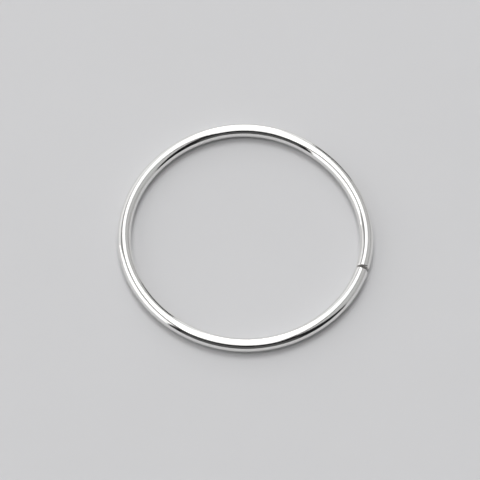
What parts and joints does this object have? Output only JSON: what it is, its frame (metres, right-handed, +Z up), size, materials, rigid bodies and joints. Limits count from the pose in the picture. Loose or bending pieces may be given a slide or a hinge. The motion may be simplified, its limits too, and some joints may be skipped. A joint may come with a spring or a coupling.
{
  "type": "nose ring",
  "caption": "Plain round-wire nose hoop in polished silver, bent to a ring whose two flat ends meet in a narrow butt joint.",
  "frame": {"origin": "centre of the ring on the surface that it lies on, halfway across its outside in X and Y", "axes": "+Z up along the ring's axis, +X through the butt joint between the two ends of the wire, +Y across the ring"},
  "size_m": [0.0112, 0.0112, 0.0006],
  "materials": {
    "polished_silver": "mirror-polished white silver with faint polishing lines along the wire, and rougher, slightly darker cut ends"
  },
  "bodies": {
    "root": {"hoop_wire": "polished_silver"}
  },
  "joints": []
}
